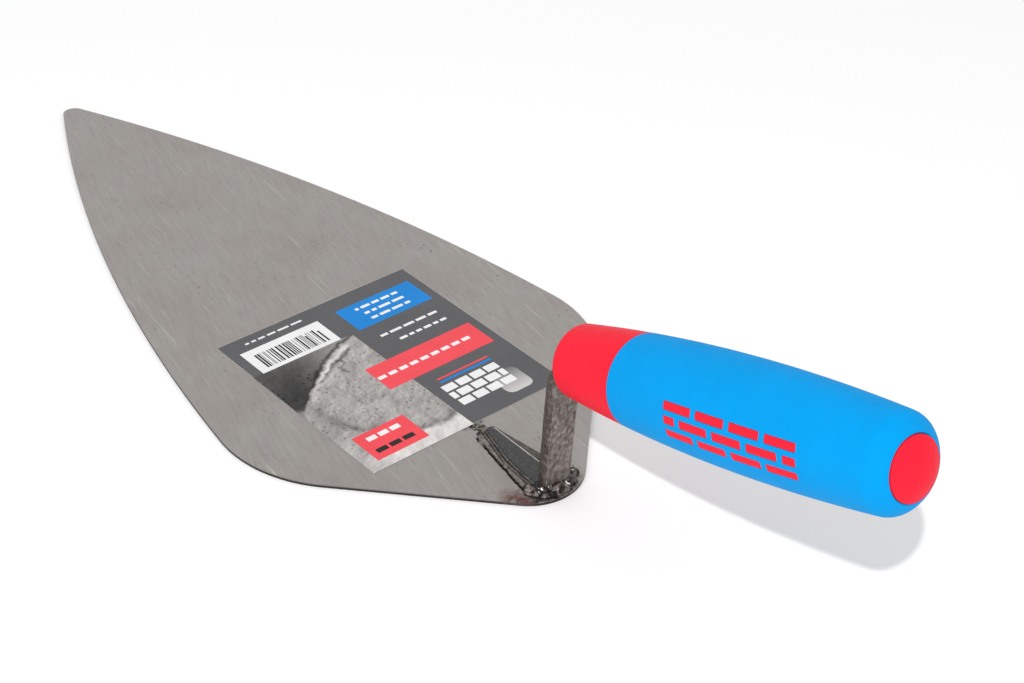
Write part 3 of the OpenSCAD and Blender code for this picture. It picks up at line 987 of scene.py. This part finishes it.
def build_core():
    """The hard moulding: collar, inner core and the bricks that stand in the grip's windows."""
    edge = 0.9 * MM
    front = [(0, 0.3 * MM), (0, FRONT_R - edge)]
    front += arc((edge, FRONT_R - edge), edge, 2, 1, 8)[1:-1]
    end = COLLAR_LENGTH - SEAM
    collar = [(s, skin_radius(s)) for s in steps(edge, end - SEAM_R, 1 * MM)]
    seam_edge = skin_radius(end) - SEAM_R
    collar += arc((end - SEAM_R, seam_edge), SEAM_R, 1, 0)[1:]
    inner = [(end, seam_edge - 1.9 * MM)]
    inner += [(s, skin_radius(s) - GRIP_T) for s in steps(end + 1 * MM, CAP_START - 1 * MM, 4 * MM)]
    core = turned(front + collar + inner)
    levels = [(0.05, 2.6), (0.05, 0.34), (0.08, 0.2), (0.2, 0.13), (0.45, 0.12), (0.8, 0.12), (1.15, 0.12)]
    bricks = [
        loft([
            [brick_point(place, point, depth * MM) for point in brick_ring(place[2], inset * MM)]
            for inset, depth in levels
        ])
        for place in brick_places()
    ]
    mesh = mesh_from("hard_core", *joined(core, *bricks), sharp_angle=50)
    new_piece("hard_core", mesh, red_plastic, ("handle_core",))


def build_cap():
    rim = 0.5 * MM
    rim_s = dome_s(CAP_R - rim)
    profile = [(CAP_START, CAP_R), (rim_s - rim, CAP_R)]
    profile += arc((rim_s - rim, CAP_R - rim), rim, 1, 0, 7)[1:-1]
    profile += [(dome_s(r), r) for r in steps(CAP_R - rim, 0.15 * MM, 0.4 * MM)]
    mesh = mesh_from("end_dome", *turned(profile, 96))
    new_piece("end_dome", mesh, red_plastic, ("end_cap",))


# ---------------------------------------------------------------- label

# The label's own frame is in millimetres: u runs towards the blade's tip and v towards +Y.
HALF_U = LABEL_L / MM / 2
HALF_V = LABEL_W / MM / 2
EXPOSURE = 1.2


def on_label(u, v, z):
    """The point at (u, v) on the label, at a height z in metres."""
    turn = Quaternion((0, 0, 1), LABEL_TURN)
    place = LABEL_MIDDLE + turn @ Vector((u * MM, v * MM, 0))
    return Vector((place.x, place.y, z))


def plate(low, high, level, corner=0.15):
    """A thin rounded plate between two (u, v) corners, on a print level."""
    z = FILM_TOP + level * PRINT_STEP
    cu, cv = (low[0] + high[0]) / 2, (low[1] + high[1]) / 2
    outline = rounded((high[0] - low[0]) / 2, (high[1] - low[1]) / 2, [corner] * 4, 3)
    return loft([[on_label(cu + u, cv + v, z + dz) for u, v in outline] for dz in (0, PRINT_STEP)])


def printed(shader, place, tone):
    """The surface of printed film: faintly uneven and half glossy."""
    return shader.set(
        Base_Color=tone,
        Roughness=shader.ramp(shader.noise(place, 9 * MM), (0.3, 0.37), (0.7, 0.47)),
        Specular_IOR_Level=0.2,
        Normal=shader.bump(shader.noise(place, 5 * MM, 2), 0.03 * MM, 0.4),
    )


def ink(name, colour):
    """Flat ink with a faint screen texture, small pinholes and a slight tone drift."""
    base = shaded(linear(*colour), 1 / EXPOSURE)
    shader = Shader(name)
    place = shader.position()
    drift = shader.noise(place, 12 * MM, 3)
    speck = shader.noise(place, 0.3 * MM, 3, 0.6)
    tone = shader.ramp(drift, (0.3, shaded(base, 0.95)), (0.7, shaded(base, 1.04)))
    tone = shader.shade(tone, speck, (0.3, 0.93), (0.6, 1.0), (0.75, 1.05))
    return printed(shader, place, tone)


def print_piece(name, material, *plates):
    new_piece(name, mesh_from(name, *joined(*plates)), material)


def greeked(u, v_start, v_end, height, level, seed):
    """A line of plain dashes that stands where a line of small print would be."""
    random.seed(seed)
    gap = 0.9
    dashes = []
    v = v_start
    while v < v_end - 1:
        length = min(random.uniform(1.6, 4.6), v_end - v)
        dashes.append(plate((u - height / 2, v), (u + height / 2, v + length), level, corner=0.12))
        v += length + gap
    return dashes


def brick_row(u, v_start, count, length, height, level, joint):
    """A course of small brick shapes that runs across the label."""
    starts = [v_start + k * (length + joint) for k in range(count)]
    return [plate((u - height / 2, v), (u + height / 2, v + length), level) for v in starts]


def line_distance(u, v, points):
    """Distance from (u, v) to a polyline."""
    best = 1e9
    here = Vector((u, v))
    for a, b in zip(points, points[1:]):
        a, b = Vector(a), Vector(b)
        share = min(max((here - a).dot(b - a) / (b - a).length_squared, 0), 1)
        best = min(best, (here - a - share * (b - a)).length)
    return best


def mortar_tone(u, v):
    """Display brightness, 0 to 1, of the printed close-up of fresh mortar."""
    here = Vector((u, v, 0))
    wander = Vector((fractal(here, 5, 3, 1), fractal(here, 5, 3, 2), 0)) * 1.2
    spot = here + wander
    relief = fractal(here + Vector((0.3, 0.3, 0)), 5, 4, 3) - fractal(here, 5, 4, 3)
    sand = fractal(here + Vector((0.2, 0.2, 0)), 1.7, 3, 6) - fractal(here, 1.7, 3, 6)
    tone = 0.66 + 0.26 * relief + 0.14 * sand + 0.05 * fractal(here, 9, 3, 4)

    # A dark hollow lies past the clump's torn edge, towards the blade's tip.
    torn = 19 - 0.25 * v - 0.0125 * v * v
    past = spot.x - torn
    hollow = 0.6 - 0.38 * blend(3, 33, v) + 0.12 * relief + 0.08 * blend(6, 18, past)
    tone += (hollow - tone) * blend(-0.5, 0.7, past)
    tone -= 0.3 * bell(past, 0.7) * blend(36, 20, v)
    tone += 0.13 * bell(past + 2.2, 1.2) * blend(2, 8, v)
    crease = [(14, 5), (11, 12), (6.5, 19), (5, 22)]
    tone -= 0.24 * bell(line_distance(spot.x, spot.y, crease), 0.55)
    tone += 0.1 * bell(line_distance(spot.x - 1.2, spot.y, crease), 0.7)
    twig = [(11, 12), (9, 10.5), (6.5, 13), (4, 12)]
    tone -= 0.2 * bell(line_distance(spot.x, spot.y, twig), 0.5)

    # Round the clump lie its soft shadow and a pale bed, which melts into the blade's grey.
    rim = [(-2, 31), (-10, 30.5), (-18, 28), (-26, 20), (-31.5, 10), (-32, 2), (-30, -1)]
    tone -= 0.16 * bell(line_distance(spot.x, spot.y, rim), 1.5)
    bulge = (spot.y - 24) * 0.16 - (spot.x + 16) * 0.16 - (spot.x + 30) ** 2 * 0.02
    side_bed = blend(-0.5, 1.0, bulge) * blend(30, 33, v + 0.2 * u + 4)
    bed = max(side_bed, blend(31.0, 33.5, -spot.x + 0.02 * v))
    tone += (0.86 - 0.14 * blend(24, 36, v) + 0.25 * relief - tone) * bed
    melt = blend(26, 33, v + 0.05 * u) * blend(-1, -4, u) * blend(-26, -18, u)
    tone += (0.6 + 0.2 * relief - tone) * melt * 0.75

    pitch = 1.3
    cell_u, cell_v = round(u / pitch), round(v / pitch)
    if noise.cell(Vector((cell_u, cell_v, 4.0))) > 0.8 and -26 < u < 12:
        away = math.hypot(u - pitch * cell_u, v - pitch * cell_v)
        tone -= 0.22 * bell(away, 0.35)
    return min(max(tone, 0.1), 0.95)


def mortar_picture():
    """The printed picture: a fine grid that carries its own brightness."""
    z = FILM_TOP + PRINT_STEP
    columns = steps(-HALF_U, 19.3, 0.28)
    rows = steps(-0.7, HALF_V, 0.28)
    vertices = [on_label(u, v, z) for v in rows for u in columns]
    count = len(columns)
    faces = []
    for start in range(0, len(vertices) - count, count):
        faces += ring_faces(start, start + count, count, closed=False)
    mesh = bpy.data.meshes.new("label_picture")
    mesh.from_pydata([tuple(p) for p in vertices], [], faces)
    store(mesh, "tone", [mortar_tone(u, v) for v in rows for u in columns])

    shader = Shader("printed_picture")
    place = shader.position()
    fine = shader.noise(place, 0.45 * MM, 4, 0.65)
    grit = shader.times(shader.math("SUBTRACT", fine, 0.5), 0.16)
    value = shader.math("ADD", shader.attribute("tone"), grit, clamp=True)
    lit = shader.times(shader.math("POWER", value, 2.2), 1 / EXPOSURE)
    green, blue = shader.times(lit, 0.955), shader.times(lit, 0.93)
    tint = shader.node("ShaderNodeCombineColor", Red=lit, Green=green, Blue=blue)
    new_piece("label_picture", mesh, printed(shader, place, tint.outputs[0]))


def fading_ink():
    """Ink that fades from white to the panel's grey, along the label."""
    shader = Shader("fading_ink")
    place = shader.position((1, 1, 1), -LABEL_TURN)
    start = LABEL_MIDDLE.x - 36 * MM
    share = shader.math("DIVIDE", shader.math("SUBTRACT", shader.part(place, "X"), start), 15 * MM)
    speck = shader.times(shader.noise(place, 0.4 * MM), 0.08)
    dark = shaded(linear(95, 95, 97), 1 / EXPOSURE)
    pale = shaded(linear(222, 220, 219), 1 / EXPOSURE)
    tone = shader.ramp(shader.math("ADD", share, speck), (0.05, pale), (0.95, dark))
    return printed(shader, place, tone)


def build_label():
    film = ink("label_film", (206, 204, 202))
    dark_ink = ink("dark_grey_ink", (95, 95, 97))
    red_ink = ink("red_ink", (250, 80, 90))
    blue_ink = ink("blue_ink", (8, 136, 220))
    white_ink = ink("white_ink", (246, 246, 246))
    black_ink = ink("black_ink", (38, 36, 37))

    corners = ((-HALF_U, -HALF_V), (HALF_U, -HALF_V), (HALF_U, HALF_V), (-HALF_U, HALF_V))
    levels = (BLADE_TOP + 0.005 * MM, FILM_TOP)
    base = loft([[on_label(u, v, z) for u, v in corners] for z in levels])
    new_piece("label_sheet", mesh_from("label_sheet", *base), film, ("label",))

    print_piece(
        "label_panel", dark_ink,
        plate((-HALF_U + 0.1, -HALF_V + 0.1), (HALF_U - 0.1, -0.7), 0),
        plate((19.3, -0.7), (HALF_U - 0.1, HALF_V - 0.1), 0),
    )
    mortar_picture()
    print_piece("label_blue_box", blue_ink, plate((19.3, -32.6), (32, -3.8), 1))
    print_piece("label_red_band", red_ink, plate((-10.5, -32.7), (2, 7.7), 1.3))
    print_piece("label_red_rule", red_ink, plate((-15.75, -25.6), (-15.05, -6), 1, corner=0.05))
    print_piece("label_blue_rule", blue_ink, plate((-17.45, -25.7), (-16.55, -5.9), 1, corner=0.05))
    print_piece("label_code_box", white_ink, plate((19.2, 3.4), (31.5, 32.3), 1, corner=0.05))
    print_piece("label_small_box", red_ink, plate((-34.8, 12.7), (-22.3, 31.3), 1.3))

    random.seed(11)
    bars = []
    v = 6.2
    while v < 29.6:
        width = random.choice((0.22, 0.22, 0.4, 0.62))
        reach = 28.5 if random.random() < 0.85 else 27.2
        bars.append(plate((20.9, v), (reach, v + width), 2, corner=0.04))
        v += width + random.choice((0.3, 0.3, 0.55, 0.8))
    print_piece("label_code_bars", black_ink, *bars)

    small_print = []
    for u, seed in ((22.4, 1), (25.7, 2), (29, 3)):
        small_print += greeked(u, -26, -9.5, 1.15, 2, seed)
    small_print += greeked(8.2, -29, -10, 1.1, 1, 4)
    small_print += greeked(12.9, -29, -7, 1.1, 1, 5)
    small_print += greeked(34.8, 7, 28, 0.8, 1, 6)
    print_piece("label_small_print", white_ink, *small_print)
    courses = brick_row(-4.2, -28, 9, 2.9, 1.5, 2.3, joint=1.15)
    courses += brick_row(-25.5, 16.4, 3, 3.3, 1.9, 2.3, joint=0.9)
    print_piece("label_brick_course", white_ink, *courses)
    print_piece("label_dark_course", black_ink, *brick_row(-31.3, 15.6, 3, 3.9, 1.9, 2.3, joint=0.9))

    print_piece("label_badge", fading_ink(), plate((-34.4, -28.6), (-23.4, -18.6), 1, corner=2.4))
    bond = []
    for course in range(COURSES):
        u = -28.4 + 4 * course
        runs = [(-25.2, 1, 2), (-22.4, 3, 4.6), (-6.2, 1, 2)] if course % 2 else [(-25.2, 4, 4.6)]
        for v_start, count, length in runs:
            bond += brick_row(u, v_start, count, length, 3.1, 2, joint=0.8)
    print_piece("label_bond", white_ink, *bond)


# ---------------------------------------------------------------- camera, lights and floor

LAMP_DISTANCE = 1.5
FLOOR_REACH = 3.0


def build_camera():
    place = Vector((-325.15, 297.71, 358.12)) * MM
    look = Vector((0.61997, -0.53525, -0.57371))
    roll = math.radians(2.37)
    camera = bpy.data.objects.new("camera", bpy.data.cameras.new("camera"))
    bpy.context.collection.objects.link(camera)
    camera.data.lens = 71.38
    camera.data.sensor_width = 36
    camera.data.clip_start = 0.01
    camera.location = place
    turned_to = look.to_track_quat("-Z", "Y") @ Quaternion((0, 0, 1), roll)
    camera.rotation_euler = turned_to.to_euler()
    bpy.context.scene.camera = camera


def spot_lamp(name, towards, size, energy):
    """A small disk lamp at LAMP_DISTANCE, facing the origin."""
    lamp = bpy.data.objects.new(name, bpy.data.lights.new(name, "AREA"))
    bpy.context.collection.objects.link(lamp)
    lamp.data.shape = "DISK"
    lamp.data.size = size
    lamp.data.energy = energy
    lamp.location = towards * LAMP_DISTANCE
    lamp.rotation_euler = (-towards).to_track_quat("-Z", "Y").to_euler()
    return lamp


def build_light():
    """A white surround, a key lamp for the shadow and a weak one for glints on the metal."""
    towards = Vector((-0.442, 0.520, 0.731)).normalized()
    key = spot_lamp("key_light", towards, 0.03, 12)
    key.visible_glossy = False
    glint = spot_lamp("glint_light", towards, 0.05, 2)
    glint.visible_diffuse = False
    world = bpy.data.worlds.new("studio")
    world.use_nodes = True
    background = world.node_tree.nodes["Background"]
    background.inputs["Color"].default_value = (1, 1, 1, 1)
    background.inputs["Strength"].default_value = 0.82
    bpy.context.scene.world = world
    bpy.context.scene.view_settings.view_transform = "Standard"


def build_floor():
    corners = [(x * FLOOR_REACH, y * FLOOR_REACH, 0) for x, y in ((-1, -1), (1, -1), (1, 1), (-1, 1))]
    mesh = bpy.data.meshes.new("floor")
    mesh.from_pydata(corners, [], [(0, 1, 2, 3)])
    floor = bpy.data.objects.new("floor", mesh)
    bpy.context.collection.objects.link(floor)
    floor.location.z = cad_box[0][2] - 0.02 * MM
    paper = Shader("studio_paper")
    mesh.materials.append(paper.set(Base_Color=(0.9, 0.9, 0.9, 1), Roughness=0.9, Specular_IOR_Level=0.1))


build_blade()
build_stem()
build_welds()
build_core()
build_grip()
build_cap()
build_label()
build_camera()
build_light()
build_floor()
